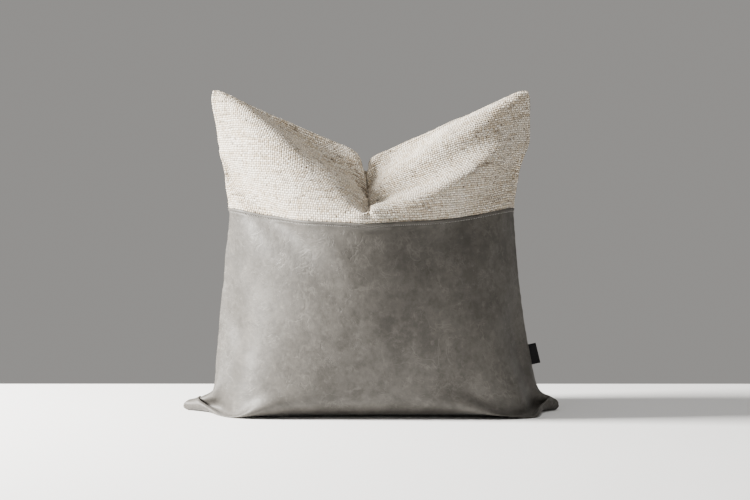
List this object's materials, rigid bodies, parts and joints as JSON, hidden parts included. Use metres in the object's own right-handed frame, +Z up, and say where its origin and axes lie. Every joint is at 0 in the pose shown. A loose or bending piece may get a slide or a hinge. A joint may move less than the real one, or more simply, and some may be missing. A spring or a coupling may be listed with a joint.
{
  "type": "throw pillow",
  "caption": "Square two-tone throw pillow with a woven upper band over leather-look lower panels, a feather insert and a hidden zipper, standing with a chopped top.",
  "frame": {"origin": "centre of the footprint, on the surface the pillow stands on", "axes": "+Z up, +X to the pillow's right as seen from the front, front faces -Y"},
  "size_m": [0.518, 0.2406, 0.4375],
  "materials": {
    "woven_cloth": "chunky hand-woven cloth with flecks",
    "faux_leather": "matte distressed grey leather-look",
    "grey_thread": "spun polyester thread",
    "black_label": "woven satin label, blank",
    "white_label": "satin label, blank",
    "ticking": "downproof cotton",
    "filling": "loose feather and fibre",
    "zipper_tape": "woven polyester tape",
    "zipper_plastic": "moulded coil",
    "zipper_metal": "dark coated zinc"
  },
  "bodies": {
    "pillow": {"front_upper_panel": "woven_cloth", "back_upper_panel": "woven_cloth", "front_lower_panel": "faux_leather", "back_lower_panel": "faux_leather", "front_join_topstitch": "grey_thread", "back_join_topstitch": "grey_thread", "seam_thread": "grey_thread", "side_label": "black_label", "care_label": "white_label", "insert_label": "white_label", "insert_ticking_front": "ticking", "insert_ticking_back": "ticking", "feather_filling": "filling", "zipper_tape_front": "zipper_tape", "zipper_tape_back": "zipper_tape", "zipper_teeth_front": "zipper_plastic", "zipper_teeth_back": "zipper_plastic", "zipper_top_stops": "zipper_metal", "zipper_bottom_stop": "zipper_metal"},
    "slider": {"zipper_slider": "zipper_metal"},
    "pull": {"zipper_pull": "zipper_metal"}
  },
  "joints": [
    {"name": "zipper_slide", "type": "slide", "parent": "pillow", "child": "slider", "axis": [1, 0, 0], "range_m": [0, 0.365]},
    {"name": "pull_hinge", "type": "hinge", "parent": "slider", "child": "pull", "pos_m": [-0.184, 0, 0.00215], "axis": [0, -1, 0], "range_deg": [0, 180]}
  ]
}
